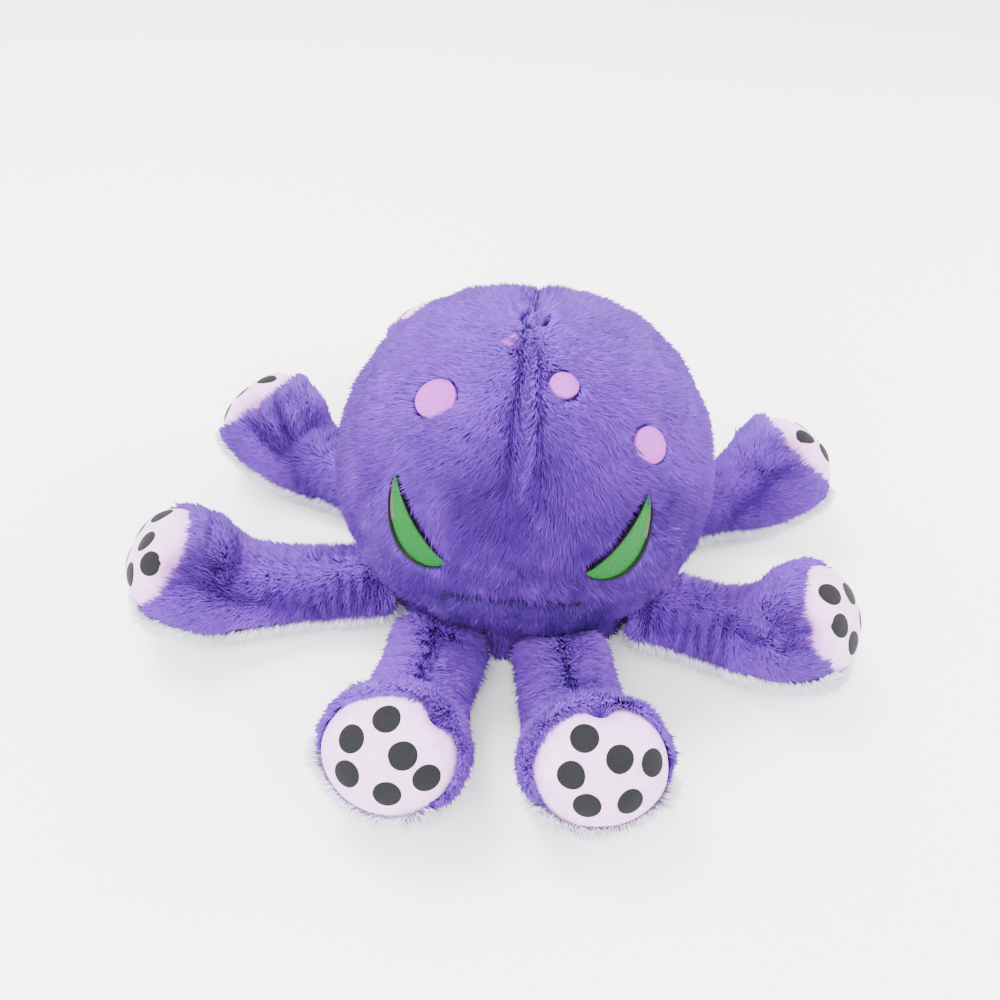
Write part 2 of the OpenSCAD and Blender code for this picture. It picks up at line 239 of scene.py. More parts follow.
def thread_material(name, dark, light, pitch, stitch, satin):
    """Machine embroidery in rayon thread. Its map is in millimetres, across and along the stitches."""
    made, tree, shader = material(name, Roughness=0.5, Specular_IOR_Level=0.2)
    place = add(tree, "ShaderNodeUVMap", uv_map="stitches")
    split = add(tree, "ShaderNodeSeparateXYZ", {"Vector": place.outputs[0]})
    row = add(tree, "ShaderNodeMath", {0: split.outputs["X"]}, operation="MULTIPLY", _1=1 / pitch)
    number = add(tree, "ShaderNodeMath", {0: row.outputs[0]}, operation="FLOOR")
    across = add(tree, "ShaderNodeMath", {0: row.outputs[0]}, operation="FRACT")
    hill = add(tree, "ShaderNodeMath", {0: across.outputs[0]}, operation="MULTIPLY", _1=math.pi)
    ridge = add(tree, "ShaderNodeMath", {0: hill.outputs[0]}, operation="SINE")
    jump = add(tree, "ShaderNodeTexWhiteNoise", {"W": number.outputs[0]}, noise_dimensions="1D")
    start = add(tree, "ShaderNodeMath", {0: split.outputs["Y"]}, operation="MULTIPLY", _1=1 / stitch)
    moved = add(tree, "ShaderNodeMath", {0: start.outputs[0], 1: jump.outputs["Value"]}, operation="ADD")
    part = add(tree, "ShaderNodeMath", {0: moved.outputs[0]}, operation="FRACT")
    arch = add(tree, "ShaderNodeMath", {0: part.outputs[0]}, operation="MULTIPLY", _1=math.pi)
    rise = add(tree, "ShaderNodeMath", {0: arch.outputs[0]}, operation="SINE")
    held = add(tree, "ShaderNodeMath", {0: rise.outputs[0]}, operation="POWER", _1=0.02 if satin else 0.35)
    height = add(tree, "ShaderNodeMath", {0: ridge.outputs[0], 1: held.outputs[0]}, operation="MULTIPLY")
    lift = add(tree, "ShaderNodeBump", {"Height": height.outputs[0]}, Strength=0.9, Distance=0.0004)
    tree.links.new(lift.outputs[0], shader.inputs["Normal"])
    # painted shade and highlight: the thread is coloured darker between the stitches and lighter on their
    # crowns, following the stitch height
    tree.links.new(ramp(tree, height.outputs[0], [(0.0, dark), (0.8, light)]), shader.inputs["Base Color"])
    return made


GREEN_THREAD = thread_material("green embroidery thread", "#013A10", "#026A22", 0.8, 4.0, False)
BLACK_THREAD = thread_material("black satin thread", "#030305", "#0B0A0E", 0.7, 30.0, True)
GREY_THREAD = thread_material("grey satin thread", "#3A3733", "#55514B", 0.7, 30.0, True)
PINK_THREAD = thread_material("pink embroidery thread", "#8C2C9A", "#B545C4", 0.9, 3.5, False)

# ---------------------------------------------------------------- meshes


def piece(name, points, faces, finish, maps=None, soft=True):
    """A mesh piece from points in millimetres and faces of equal size, with named maps per corner."""
    points = np.asarray(points, float)
    faces = np.asarray(faces, int)
    sides = faces.shape[1]
    mesh = bpy.data.meshes.new(name)
    mesh.vertices.add(len(points))
    mesh.vertices.foreach_set("co", (points * MM).astype(np.float32).ravel())
    mesh.loops.add(faces.size)
    mesh.loops.foreach_set("vertex_index", faces.ravel().astype(np.int32))
    mesh.polygons.add(len(faces))
    mesh.polygons.foreach_set("loop_start", np.arange(0, faces.size, sides, dtype=np.int32))
    mesh.polygons.foreach_set("loop_total", np.full(len(faces), sides, np.int32))
    mesh.update(calc_edges=True)
    for label, values in (maps or {}).items():
        layer = mesh.uv_layers.new(name=label)
        layer.data.foreach_set("uv", np.asarray(values, np.float32)[faces.ravel()].ravel())
    mesh.polygons.foreach_set("use_smooth", np.full(len(faces), soft))
    mesh.materials.append(finish)
    mesh.validate()
    made = bpy.data.objects.new(name, mesh)
    bpy.context.scene.collection.objects.link(made)
    return made


def grid_faces(rows, cols, wrap):
    """Quads of a grid of rows by cols points, closed round its columns if wrap."""
    i, j = np.meshgrid(np.arange(rows - 1), np.arange(cols if wrap else cols - 1), indexing="ij")
    a = i * cols + j
    b = i * cols + (j + 1) % cols
    return np.stack([a, b, b + cols, a + cols], -1).reshape(-1, 4)


def grid_normals(grid, wrap, outward):
    """Unit normals of a grid of points, turned to the side that outward points to."""
    down = np.gradient(grid, axis=0)
    if wrap:
        round_ = (np.roll(grid, -1, 1) - np.roll(grid, 1, 1)) / 2
    else:
        round_ = np.gradient(grid, axis=1)
    normal = unit(np.cross(round_, down))
    flip = np.sign((normal * outward).sum(-1).mean())
    return normal * flip


def closed_skin(name, grid, first, last, finish):
    """A closed skin from a wrapped grid, with a point at each end."""
    rows, cols = grid.shape[:2]
    points = np.concatenate([grid.reshape(-1, 3), [first, last]])
    quads = grid_faces(rows, cols, True)
    triangles = []
    for j in range(cols):
        k = (j + 1) % cols
        triangles.append((rows * cols, k, j, j))
        last_row = (rows - 1) * cols
        triangles.append((rows * cols + 1, last_row + j, last_row + k, last_row + k))
    mesh = bpy.data.meshes.new(name)
    faces = [tuple(q) for q in quads] + [t[:3] for t in triangles]
    mesh.from_pydata([tuple(p * MM) for p in points], [], faces)
    mesh.polygons.foreach_set("use_smooth", [True] * len(faces))
    mesh.materials.append(finish)
    made = bpy.data.objects.new(name, mesh)
    bpy.context.scene.collection.objects.link(made)
    face_outwards(made)
    return made


def face_outwards(made):
    """Turns a closed piece's faces outwards."""
    bpy.context.view_layer.objects.active = made
    bpy.ops.object.select_all(action="DESELECT")
    made.select_set(True)
    bpy.ops.object.mode_set(mode="EDIT")
    bpy.ops.mesh.select_all(action="SELECT")
    bpy.ops.mesh.normals_make_consistent(inside=False)
    bpy.ops.object.mode_set(mode="OBJECT")
    made.select_set(False)


def sheet_piece(name, outer, inner, finish, maps=None, wrap=False):
    """A closed panel between two grids of points, for prints and embroidery."""
    rows, cols = outer.shape[:2]
    n = rows * cols
    top = grid_faces(rows, cols, wrap)
    under = top[:, ::-1] + n
    edge = []
    rims = [[i * cols + j for j in range(cols)] for i in (0, rows - 1)]
    if wrap:
        rims = [r + [r[0]] for r in rims]
    for sign, rim in zip((1, -1), rims):
        for a, b in zip(rim, rim[1:]):
            edge.append((a, a + n, b + n, b) if sign > 0 else (b, b + n, a + n, a))
    if not wrap:
        for sign, j in ((-1, 0), (1, cols - 1)):
            side = [i * cols + j for i in range(rows)]
            for a, b in zip(side, side[1:]):
                edge.append((a, a + n, b + n, b) if sign > 0 else (b, b + n, a + n, a))
    points = np.concatenate([outer.reshape(-1, 3), inner.reshape(-1, 3)])
    both = {k: np.concatenate([v.reshape(-1, 2)] * 2) for k, v in (maps or {}).items()}
    made = piece(name, points, np.concatenate([top, under, np.array(edge)]), finish, both)
    face_outwards(made)
    return made


def patches(name, rounds, finish):
    """One piece of several closed round panels, each of (outer rings, inner rings, map)."""
    points, faces, place = [], [], []
    for outer, inner, flat in rounds:
        rows, cols = outer.shape[:2]
        n = rows * cols
        first = len(points)
        for side in (outer, inner):
            points.extend(map(tuple, side.reshape(-1, 3)))
            points.append(tuple(side[0].mean(0)))
            place.extend(map(tuple, flat.reshape(-1, 2)))
            place.append(tuple(flat[0].mean(0)))
        top = grid_faces(rows, cols, True)
        faces.extend(tuple(f + first) for f in top)
        faces.extend(tuple(f[::-1] + first + n + 1) for f in top)
        for j in range(cols):
            k = (j + 1) % cols
            faces.append((first + k, first + j, first + n))
            faces.append((first + n + 1 + j, first + n + 1 + k, first + 2 * n + 1))
            a, b = first + n - cols + j, first + n - cols + k
            faces.append((a, a + n + 1, b + n + 1, b))
    mesh = bpy.data.meshes.new(name)
    corners_of = [tuple(int(i) for i in f) for f in faces]
    mesh.from_pydata([tuple(c * MM for c in p) for p in points], [], corners_of)
    layer = mesh.uv_layers.new(name="stitches")
    corners = np.zeros(len(mesh.loops), np.int32)
    mesh.loops.foreach_get("vertex_index", corners)
    layer.data.foreach_set("uv", np.array(place, np.float32)[corners].ravel())
    mesh.polygons.foreach_set("use_smooth", [True] * len(mesh.polygons))
    mesh.materials.append(finish)
    made = bpy.data.objects.new(name, mesh)
    bpy.context.scene.collection.objects.link(made)
    face_outwards(made)
    return made


# ---------------------------------------------------------------- pile

TONES = 24               # shades that strands come in
HEAD_DENSITY, ARM_DENSITY = 2.0, 1.9      # strands to the square millimetre


def strands(name, roots, normals, flows, length, lean, width, tone, finish, floor=True):
    """Pile: one tapered, bent strand from each root, as a closed wedge of four faces.

    lean is how far a strand lies over along its flow, in radians; it stands steeper at
    its root and lies flatter at its tip. tone from 0 to 1 picks the strand's shade.
    """
    count = len(roots)
    flows = unit(flows - normals * (flows * normals).sum(-1, keepdims=True))
    side = np.cross(normals, flows)
    lean = lean[:, None]
    length = length[:, None]
    low = normals * np.cos(lean * 0.55) + flows * np.sin(lean * 0.55)
    high = normals * np.cos(lean * 1.3) + flows * np.sin(lean * 1.3)
    base = roots - normals * 0.3
    middle = base + low * length * 0.45
    tip = middle + high * length * 0.55
    half = side * width[:, None] / 2
    points = np.stack([base - half, base + half, middle, tip], 1)
    if floor:
        points[:, :, 2] = np.maximum(points[:, :, 2], 0.15 + 0.1 * np.arange(4))
    a, b, c, d = (points[:, i] for i in range(4))
    volume = (np.cross(b - a, c - a) * (d - a)).sum(-1)
    order = np.array([[0, 2, 1], [0, 1, 3], [1, 2, 3], [2, 0, 3]])
    other = order[:, ::-1]
    faces = np.where((volume > 0)[:, None, None], order[None], other[None])
    faces = (faces + np.arange(count)[:, None, None] * 4).reshape(-1, 3)
    step = 1 / TONES
    column = np.floor(np.clip(tone, 0, 0.999) * TONES) * step + step / 2
    place = np.zeros((count, 4, 2))
    place[:, 0] = np.stack([column - step * 0.4, np.full(count, 0.02)], -1)
    place[:, 1] = np.stack([column + step * 0.4, np.full(count, 0.02)], -1)
    place[:, 2] = np.stack([column, np.full(count, 0.45)], -1)
    place[:, 3] = np.stack([column, np.full(count, 0.98)], -1)
    return piece(name, points.reshape(-1, 3), faces, finish, {"OFBake": place.reshape(-1, 2)})


class Cloth:
    """A grid of points on a surface, with what is needed to plant pile on it."""

    def __init__(self, grid, normals, wrap):
        self.grid, self.normals, self.wrap = grid, normals, wrap
        self.rows, self.cols = grid.shape[:2]

    def at(self, field, row, col):
        """A field over the grid, read between its points."""
        last = self.rows - 1
        row = np.clip(row, 0, last - 1e-6)
        i = row.astype(int)
        j = np.floor(col).astype(int)
        a, b = (row - i)[:, None], (col - np.floor(col))[:, None]
        if self.wrap:
            j0, j1 = j % self.cols, (j + 1) % self.cols
        else:
            j0, j1 = np.clip(j, 0, self.cols - 1), np.clip(j + 1, 0, self.cols - 1)
        return mix(mix(field[i, j0], field[i, j1], b), mix(field[i + 1, j0], field[i + 1, j1], b), a)

    def scatter(self, density, seed):
        """Rows and columns of evenly spread roots, density of them to the square millimetre."""
        cols = self.cols if self.wrap else self.cols - 1
        right = np.roll(self.grid, -1, 1) if self.wrap else self.grid[:, 1:]
        here = self.grid if self.wrap else self.grid[:, :-1]
        u = right[:-1] - here[:-1]
        v = here[1:] - here[:-1]
        area = np.linalg.norm(np.cross(u, v), axis=-1)
        many = np.cumsum((area * np.broadcast_to(density, area.shape)).ravel())
        rng = np.random.default_rng(seed)
        total = int(many[-1])
        picks = np.searchsorted(many, np.arange(total) + rng.uniform(0, 1, total))
        picks = np.clip(picks, 0, len(many) - 1)
        order = np.arange(total)
        a = (order * 0.7548776662 + rng.uniform(0, 0.25, total)) % 1
        b = (order * 0.5698402910 + rng.uniform(0, 0.25, total)) % 1
        return picks // cols + a, picks % cols + b


# ---------------------------------------------------------------- head

FRONT_SEAM, REAR_SEAM, SIDE_SEAM = 2.8, 2.2, 0.5      # how deep each seam pulls in


MOUTH_TURN, MOUTH_RISE, MOUTH_UP, MOUTH_DEEP = 20.5, -2.2, -4.8, 3.0


def seam_depth(around, up):
    """How far the head's seams pull the skin in, at degrees round and up."""
    flat = np.cos(np.radians(up)) * HEAD_R
    depth = 0
    for place, deep in ((0, FRONT_SEAM), (180, REAR_SEAM), (90, SIDE_SEAM), (-90, SIDE_SEAM)):
        off = np.radians((around - place + 180) % 360 - 180) * flat
        fade = smooth((up - 22) / 22) if place == 0 else smooth((up + 10) / 30)
        depth = depth + deep * bump(off, 2.8) * fade * (1 - 0.7 * smooth((up - 70) / 14))
    across = (around + 180) % 360 - 180
    lip = (up - MOUTH_UP - MOUTH_RISE * (across / MOUTH_TURN) ** 2) * 1.7
    return depth + MOUTH_DEEP * bump(lip, 2.6) * smooth((MOUTH_TURN + 2 - np.abs(across)) / 4)


def head_point(around, up, inset, crown=True):
    """A point of the head, inset under its pile; head_grid runs the head in to the yoke below."""
    turn, lift = np.radians(around), np.radians(up)
    r = HEAD_R - inset
    h = HEAD_HALF_H - inset
    if crown:
        pull = seam_depth(around, up) + 1.4 * np.cos(4 * turn) * np.cos(lift)
        r = r - pull
        h = h - pull
    x = r * np.cos(lift) * np.sin(turn)
    y = -r * np.cos(lift) * np.cos(turn)
    return np.stack([x, y, HEAD_MID_Z + h * np.sin(lift)], -1)


HEAD_COLS = 180
HEAD_ROWS = 96
HEAD_LOW = -28.0


def head_grid():
    """The head's skin: down the gores from the top, in under the head, and down the yoke."""
    around = np.arange(HEAD_COLS) * 360 / HEAD_COLS - 180
    rows = []
    for up in np.linspace(89, HEAD_LOW, HEAD_ROWS):
        rows.append(head_point(around, np.full(HEAD_COLS, up), PILE_DEPTH))
    turn = np.radians(around)
    edge = rows[-1]
    out = np.linalg.norm(edge[:, :2], axis=-1)
    for t in np.linspace(0.12, 1, 8):
        r = mix(out, YOKE_R - PILE_DEPTH, t)
        z = mix(edge[:, 2], YOKE_TOP, t ** 0.8)
        rows.append(np.stack([r * np.sin(turn), -r * np.cos(turn), z], -1))
    for t in np.linspace(0.1, 1, 9):
        r = np.full(HEAD_COLS, mix(YOKE_R - PILE_DEPTH, BASE_R - 4, t))
        z = np.full(HEAD_COLS, mix(YOKE_TOP, 3.0, t))
        rows.append(np.stack([r * np.sin(turn), -r * np.cos(turn), z], -1))
    return np.array(rows)


grid = head_grid()
middle = np.array([0, 0, 70.0])
head = Cloth(grid, grid_normals(grid, True, grid - middle), True)

head_body = closed_skin("head_body", grid, [0, 0, grid[0, 0, 2] + 0.1], [0, 0, 3.0], BACKING)
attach(head_body, "head")
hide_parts("head_filling", "yoke_band", "closing_stitches")

EYE_INNER = np.array([18.0, 8.0])
EYE_OUTER = np.array([40.5, 28.5])
SAG_TOP, SAG_LOW = 1.6, 10.4
OUTLINE_W = 1.3


def eye_swell(t):
    """How an eye's sag grows from its blunt inner corner and dies out at its outer tip."""
    return t ** 0.45 * (1 - t) / 0.4



def eye_edge(t, sag):
    """A point on an eye's edge, from its inner corner to its outer tip, in degrees round and up."""
    along = EYE_OUTER - EYE_INNER
    across = np.array([along[1], -along[0]]) / np.linalg.norm(along)
    t = np.asarray(t, float)[..., None]
    return EYE_INNER + along * t + across * sag * eye_swell(t)


def eye_place(around, up):
    """Where a point of the face lies by an eye: its share along, and its sag in degrees."""
    along = EYE_OUTER - EYE_INNER
    across = np.array([along[1], -along[0]]) / np.linalg.norm(along)
    off = np.stack([np.abs(around), up], -1) - EYE_INNER
    t = (off @ along) / (along @ along)
    return t, (off @ across) / eye_swell(np.clip(t, 0.02, 0.98))


def arc(around, up, place):
    """Distance over the head from each point to a place, in millimetres."""
    a1, u1, a2, u2 = (np.radians(v) for v in (around, up, place[0], place[1]))
    cosine = np.sin(u1) * np.sin(u2) + np.cos(u1) * np.cos(u2) * np.cos(a1 - a2)
    return np.arccos(np.clip(cosine, -1, 1)) * (HEAD_R - 4)





def on_face(points):
    """Degrees round and up of points of the head."""
    r = np.hypot(points[:, 0], points[:, 1])
    around = np.degrees(np.arctan2(points[:, 0], -points[:, 1]))
    return around, np.degrees(np.arctan2((points[:, 2] - HEAD_MID_Z) / HEAD_HALF_H, r / HEAD_R))


def on_thread(points):
    """Which points lie over an eye or over one of the spots that the pile leaves free."""
    around, up = on_face(points)
    t, sag = eye_place(around, up)
    covered = (t > -0.01) & (t < 1.0) & (sag > SAG_TOP - 0.4) & (sag < SAG_LOW + OUTLINE_W + 0.5)
    for n, spot in enumerate(SPOTS):
        share = 0.45 if n in SUNK_SPOTS else 1.0
        covered |= arc(around, up, spot) < spot[2] / 2 * share
    return covered


def mouth_gap(around, up):
    """Millimetres from the mouth's line, positive above it, far off past its ends."""
    off = (up - MOUTH_UP - MOUTH_RISE * (around / MOUTH_TURN) ** 2) * 1.75
    return np.where(np.abs(around) < MOUTH_TURN + 1, off, 99)


def plant_head():
    """The long pile of the four gores and of the yoke under them."""
    density = np.full(head.grid.shape[:2], HEAD_DENSITY)[:-1]
    density[head.grid[:-1, :, 2] < YOKE_TOP + 1] *= 0.5
    row, col = head.scatter(density, 11)
    root = head.at(head.grid, row, col)
    normal = unit(head.at(head.normals, row, col))
    around, up = on_face(root)
    mouth = mouth_gap(around, up)
    low = root[:, 2] < YOKE_TOP + 1

    turn = np.radians(around)
    east = np.stack([np.cos(turn), np.sin(turn), np.zeros_like(turn)], -1)
    down = np.cross(normal, east)
    down *= np.sign((down * [0, 0, -1]).sum(-1, keepdims=True) + 1e-9)
    comb = np.radians(30 * np.sin(2 * turn))
    flow = down * np.cos(comb)[:, None] + east * np.sin(comb)[:, None]
    flow = flow + sway(root, 26, 3) * 0.3 + sway(root, 6, 4) * 0.16 + RNG.normal(0, 0.16, root.shape)
    beside = np.radians(around) * np.cos(np.radians(up)) * HEAD_R
    flow = flow - east * (0.5 * np.tanh(beside / 2.5) * bump(beside, 9.0) * smooth((up - 18) / 16))[:, None]
    flow = unit(flow - normal * (flow * normal).sum(-1, keepdims=True))

    count = len(root)
    length = 9.6 * (1 + RNG.normal(0, 0.1, count))
    lean = np.radians(53 + 7 * sway(root, 9, 5)[:, 0] + RNG.normal(0, 6, count))
    seam = np.clip(seam_depth(around, up) / FRONT_SEAM, 0, 1)
    length *= 1 - 0.15 * seam
    tone = 0.6 + 0.1 * sway(root, 5, 6)[:, 0] + 0.1 * sway(root, 24, 7)[:, 0] + RNG.normal(0, 0.14, count)
    # painted shade: strands darken in the seams' grooves, and a painted shadow darkens them along and just
    # under the mouth's line
    tone -= 0.45 * seam + 0.6 * bump(np.where(mouth > 50, 50, mouth + 1.5), 3.6)
    tufted = sway(root, 3.2, 8)[:, 0] > 0.15
    length = np.where((mouth > 0) & (mouth < 8) & ~tufted, length * 0.45, length)
    keep = (mouth > 0.8) | (mouth < -2.4)

    reach = flow * (length * np.sin(lean) * 0.95)[:, None]
    share = np.ones(count)
    for less in (0.75, 0.55, 0.4):
        share = np.where(on_thread(root + reach * share[:, None]), less, share)
    keep &= ~on_thread(root) & ~on_thread(root + reach * share[:, None])
    length = length * share
    width = RNG.uniform(0.3, 0.46, count)
    gores = (("front_left", -1, 1), ("front_right", 1, 1), ("rear_left", -1, -1), ("rear_right", 1, -1))
    for name, right, front in gores:
        pick = (np.sign(root[:, 0] + 1e-9) == right) & (np.sign(-root[:, 1] + 1e-9) == front) & ~low & keep
        made = strands("head_" + name + "_pile", root[pick], normal[pick], flow[pick], length[pick],
                       lean[pick], width[pick], tone[pick], PURPLE_PILE)
        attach(made, "head")
        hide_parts("head_" + name)
    made = strands("yoke_pile", root[low], normal[low], flow[low], length[low],
                   lean[low], width[low] * 1.4, tone[low], PURPLE_PILE)
    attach(made, "head")


plant_head()

# ---------------------------------------------------------------- face


def face_grid(place, rows, cols, inset):
    """A grid of points over the head from a rule that turns shares into degrees."""
    v, u = np.meshgrid(np.linspace(0, 1, rows), np.linspace(0, 1, cols), indexing="ij")
    around, up = place(u, v)
    return head_point(around, up, inset, crown=True), around, up


def millimetres(around, up, turn):
    """A stitch map over part of the face, in millimetres, turned by some degrees."""
    x = np.radians(around) * HEAD_R * math.cos(math.radians(float(np.mean(up))))
    y = np.radians(up) * HEAD_R
    c, s = math.cos(math.radians(turn)), math.sin(math.radians(turn))
    return np.stack([x * c + y * s, -x * s + y * c], -1)


THREAD_TOP = 1.6         # how far under the pile's tips the embroidery lies


def eye_band(name, side, from_t, to_t, low, high, finish, node, lift, angle, crown=0.0):
    """A band of embroidery along an eye between two sags, crowned in the middle."""
    def place(u, v):
        t = mix(from_t, to_t, u)
        edge = mix(eye_edge(t, low), eye_edge(t, high), v[..., None])
        return side * edge[..., 0], edge[..., 1]
    outer, around, up = face_grid(place, 9, 49, THREAD_TOP - lift)
    inner, _, _ = face_grid(place, 9, 49, PILE_DEPTH + 0.5)
    v = np.linspace(0, 1, 9)[:, None]
    u = np.linspace(0, 1, 49)[None, :]
    raise_ = crown * (1 - np.abs(2 * v - 1) ** 2.5) * (1 - np.abs(2 * u - 1) ** 12)
    outer = outer + unit(outer - middle) * raise_[..., None]
    made = sheet_piece(name, outer, inner, finish, {"stitches": millimetres(around, up, angle)})
    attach(made, "head")
    if node:
        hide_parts(node)
    return made


for label, side in (("left", -1), ("right", 1)):
    eye = label + "_eye_"
    green = eye_band(eye + "fill", side, 0.004, 0.996, SAG_TOP, SAG_LOW,
                     GREEN_THREAD, eye + "green", 0.0, side * 35, 0.5)
    outline = eye_band(eye + "cord", side, 0, 1, SAG_LOW - 0.15, SAG_LOW + OUTLINE_W,
                       BLACK_THREAD, eye + "outline", 0.3, side * 120, 0.9)
    corner = eye_band(eye + "tip", side, 0.6, 0.985, SAG_LOW - 2.6, SAG_LOW - 0.1,
                      GREY_THREAD, eye + "corner", 0.25, side * 120, 0.4)
    edge = eye_band(eye + "top_edge", side, 0.01, 0.97, SAG_TOP - 0.3, SAG_TOP + 0.15,
                    BLACK_THREAD, None, 0.2, side * 120, 0.3)


def mouth_place(u, v):
    s = mix(-1, 1, u)
    return s * MOUTH_TURN, MOUTH_UP + MOUTH_RISE * s * s - v * 1.3


outer, around, up = face_grid(mouth_place, 5, 65, PILE_DEPTH - 3.4)
inner, _, _ = face_grid(mouth_place, 5, 65, PILE_DEPTH + 0.5)
mouth = sheet_piece("mouth_stitching", outer, inner, BLACK_THREAD, {"stitches": millimetres(around, up, 90)})
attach(mouth, "head")
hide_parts("mouth_stitching")


def spot_round(number, spot):
    """One embroidered spot: a crowned round of fill stitches, sunk in the pile."""
    rings = np.array([0.15, 0.35, 0.55, 0.75, 0.9, 0.97, 1.0])
    turns = np.linspace(0, 2 * math.pi, 48, endpoint=False)
    reach = np.degrees(spot[2] / 2 / (HEAD_R - 4)) * rings[:, None]
    around = spot[0] + reach * np.sin(turns) / math.cos(math.radians(spot[1]))
    up = spot[1] + reach * np.cos(turns)
    rise = 0.9 * (1 - rings ** 6)[:, None]
    sunk = 3.2 if number in SUNK_SPOTS else THREAD_TOP
    outer = head_point(around, up, sunk + 0.6 - rise)
    inner = head_point(around, up, np.full_like(around, PILE_DEPTH + 0.5))
    flat = rings[:, None] * spot[2] / 2
    return outer, inner, np.stack([flat * np.sin(turns), flat * np.cos(turns)], -1)


spots = patches("embroidered_spots", [spot_round(n, spot) for n, spot in enumerate(SPOTS)], PINK_THREAD)
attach(spots, "head")
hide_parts("forehead_spots")

# ---------------------------------------------------------------- arms


class Arm:
    """One arm's frame, middle line and skin."""

    def __init__(self, number, joint):
        self.k = number
        self.body = joint["child"]
        pos = np.array(joint["pos_m"]) / MM
        self.across = -np.array(joint["axis"], float)
        self.out = np.array([self.across[1], -self.across[0], 0.0])
        self.origin = np.array([pos[0], pos[1], 0.0])
        run = FOOT_RUN + ARM_STRETCH[number - 1]
        curl = math.radians(CURL)
        self.start = run - CURL_R * math.sin(curl) - RIM_RUN * math.cos(curl)
        self.bend = CURL_R * curl
        self.length = self.start + self.bend + RIM_RUN

    def middle(self, s):
        turned = np.clip((s - self.start) / CURL_R, 0, math.radians(CURL))
        rest = np.maximum(s - self.start - self.bend, 0)
        x = np.minimum(s, self.start) + CURL_R * np.sin(turned) + rest * math.cos(math.radians(CURL))
        z = HINGE_Z + CURL_R * (1 - np.cos(turned)) + rest * math.sin(math.radians(CURL))
        return x, z, turned

    def half_w(self, s):
        return mix(ROOT_HALF_W, FOOT_HALF_W, smooth((s / self.length - 0.3) / 0.7))

    def half_h(self, s):
        grown = mix(ROOT_HALF_H, FOOT_HALF_H, smooth((s / self.length - 0.25) / 0.75))
        return np.where(s < 0, np.sqrt(np.maximum(ROOT_HALF_H ** 2 - s * s, 1)), grown)

    def world(self, local):
        level = local[..., 0:1] * self.out + local[..., 1:2] * self.across
        return self.origin + level + local[..., 2:3] * [0, 0, 1]


ARM_COLS = 96
ROOT_AT = -9.0             # where an arm's full root starts, measured from its bending line
RIB_PITCH = 7.5            # between the soft ribs across an arm
ROOT_END = 10.0            # how far the rounded end of an arm reaches in behind its root
TUBE_ROWS = 64
RIM_ROWS = 4
DOME_ROWS = 22
PAD_HALF_W, PAD_HALF_H = 31.2, 27.0
PAD_LOW, PAD_RISE = 3.5, 18.0
PAD_CLOTH = 0.6
GATHER = [0.9, 0.4, 0.5, 0.7, 0.7, 2.4, 0.5, 0.9]     # how deep the folds by each foot's tuck are


def pile_edge(arm, s):
    """Degrees round an arm at which the purple pile ends on each side: its middle and its reach."""
    grown = smooth(s / arm.length)
    return ARM_ROLL[arm.k - 1] * grown, mix(FUR_TURN_ROOT, FUR_TURN_RIM, grown)


def from_top(turn, middle):
    """Degrees round from the middle of the purple pile, -180 to 180."""
    return (turn - middle + 180) % 360 - 180


def arm_stations(arm):
    """Millimetres along an arm of each row of its skin up to the pad's rim, its rounded root first."""
    rounded = ROOT_AT - ROOT_END * np.sin(np.radians([80, 60, 40, 20]))
    return np.concatenate([rounded, np.linspace(ROOT_AT, arm.length, TUBE_ROWS - len(rounded))])


def arm_skin(arm):
    """Rows of an arm's skin, in its own frame, from its root to its pad's middle."""
    turn = np.arange(ARM_COLS) * 360 / ARM_COLS - 180
    rad = np.radians(turn)
    rows = []

    def ring(s, past, shape, floor):
        x, z, slope = arm.middle(np.array(s))
        off, reach = pile_edge(arm, s)
        white = smooth((np.abs(from_top(turn, off)) - reach + 8) / 16)
        w, h = shape(mix(PILE_DEPTH, WHITE_DEPTH, white))
        side = np.abs(from_top(turn, TUCK_TURN[arm.k - 1] * smooth(s / arm.length)))
        along = smooth((s - arm.start - 0.2 * arm.bend) / 18) * smooth((arm.length + 6 - s - past) / 14)
        fold = GATHER[arm.k - 1] * along * (0.5 + 0.5 * np.cos(rad * 9 + arm.k)) * bump(side, 75)
        off_ridge = from_top(turn, 6) / 57 * arm.half_h(np.array(max(s, 0)))
        seam = 0.7 * bump(off_ridge, 2.6) * smooth((arm.start + 0.3 * arm.bend - s) / 10)
        rib = 0.35 * np.sin(s * 2 * math.pi / RIB_PITCH) * smooth((arm.start + 8 - s) / 10)
        w = w - fold - seam - rib
        h = h - fold - seam - rib
        n = h * np.cos(rad)
        px = x + past * math.cos(slope) - n * math.sin(slope)
        pz = z + past * math.sin(slope) + n * math.cos(slope)
        rows.append(np.stack([px * np.ones(ARM_COLS), w * np.sin(rad), np.maximum(pz, floor)], -1))

    low = WHITE_DEPTH - 1.0
    for s in arm_stations(arm):
        round_end = math.sqrt(max(1 - (min(s - ROOT_AT, 0.0) / ROOT_END) ** 2, 0.0))
        ring(s, 0.0, lambda inset, s=s, r=round_end: (
            (arm.half_w(s) - inset) * r, (float(arm.half_h(np.array(max(s, ROOT_AT)))) - inset) * r), low)
    for t in np.linspace(1 / RIM_ROWS, 1, RIM_ROWS):
        ring(arm.length, PAD_LOW * t, lambda inset, t=t: (
            mix(FOOT_HALF_W - inset, PAD_HALF_W, t), mix(FOOT_HALF_H - inset, PAD_HALF_H, t)), low)
    for t in np.linspace(1 / DOME_ROWS, 1 - 0.3 / DOME_ROWS, DOME_ROWS):
        reach = 1 - t
        rise = PAD_LOW + PAD_RISE * (1 - reach ** 2.3) ** (1 / 1.7)
        ring(arm.length, rise, lambda inset, reach=reach: (PAD_HALF_W * reach, PAD_HALF_H * reach), 0.5)
    return np.array(rows)


